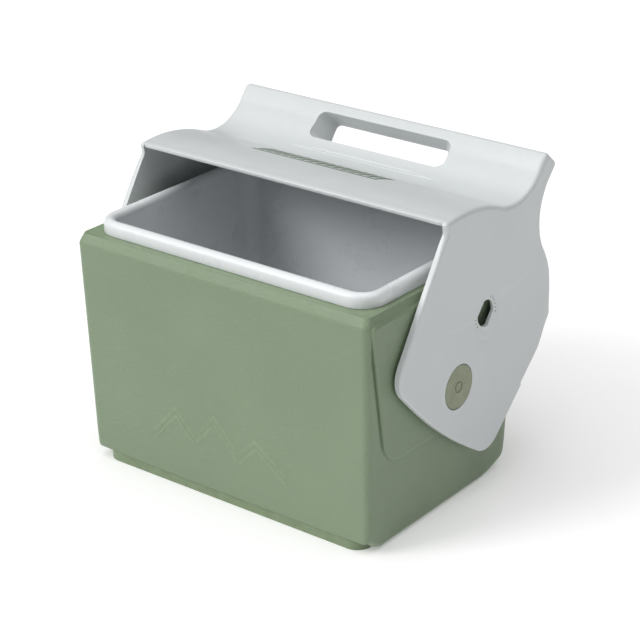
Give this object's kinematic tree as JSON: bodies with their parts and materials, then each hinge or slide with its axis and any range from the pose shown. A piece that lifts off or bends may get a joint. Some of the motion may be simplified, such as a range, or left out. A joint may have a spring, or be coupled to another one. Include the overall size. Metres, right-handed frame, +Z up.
{
  "type": "cooler chest",
  "caption": "Small hard-sided cooler chest with a pivoting lid that swings back on two side arms, a hand slot through its raised ridge and a push-button latch.",
  "frame": {"origin": "centre of the flat underside of the foot, where the chest stands", "axes": "+X to the right of someone facing the front, along the long side; +Y to the back; +Z up"},
  "size_m": [0.2827, 0.2333, 0.2469],
  "materials": {
    "shell": "fine pebble grain",
    "foot": "fine grain",
    "liner": "smooth",
    "foam": "closed-cell foam",
    "lid": "satin",
    "pivot": "satin",
    "washer": "smooth nylon",
    "spring": "drawn wire"
  },
  "bodies": {
    "chest": {"outer_shell": "shell", "base_foot": "foot", "inner_liner": "liner", "insulation": "foam", "pivot_socket_l": "shell", "pivot_socket_r": "shell", "pivot_pin_l": "pivot", "pivot_pin_r": "pivot", "pivot_cap_l": "pivot", "pivot_cap_r": "pivot", "pivot_washer_l": "washer", "pivot_washer_r": "washer", "latch_housing": "pivot", "latch_spring": "spring", "latch_backplate": "pivot"},
    "lid": {"lid_shell": "lid", "grip_sleeve": "lid", "lid_cover": "lid"},
    "button": {"latch_button": "pivot"}
  },
  "joints": [
    {"name": "lid_swing", "type": "hinge", "parent": "chest", "child": "lid", "pos_m": [0, 0, 0.1013], "axis": [1, 0, 0], "range_deg": [0, 79]},
    {"name": "latch_press", "type": "slide", "parent": "chest", "child": "button", "axis": [-1, 0, 0], "range_m": [0, 0.0025], "stiffness_N_per_m": 400, "springref_m": -0.002, "deforming": ["latch_spring"]}
  ]
}
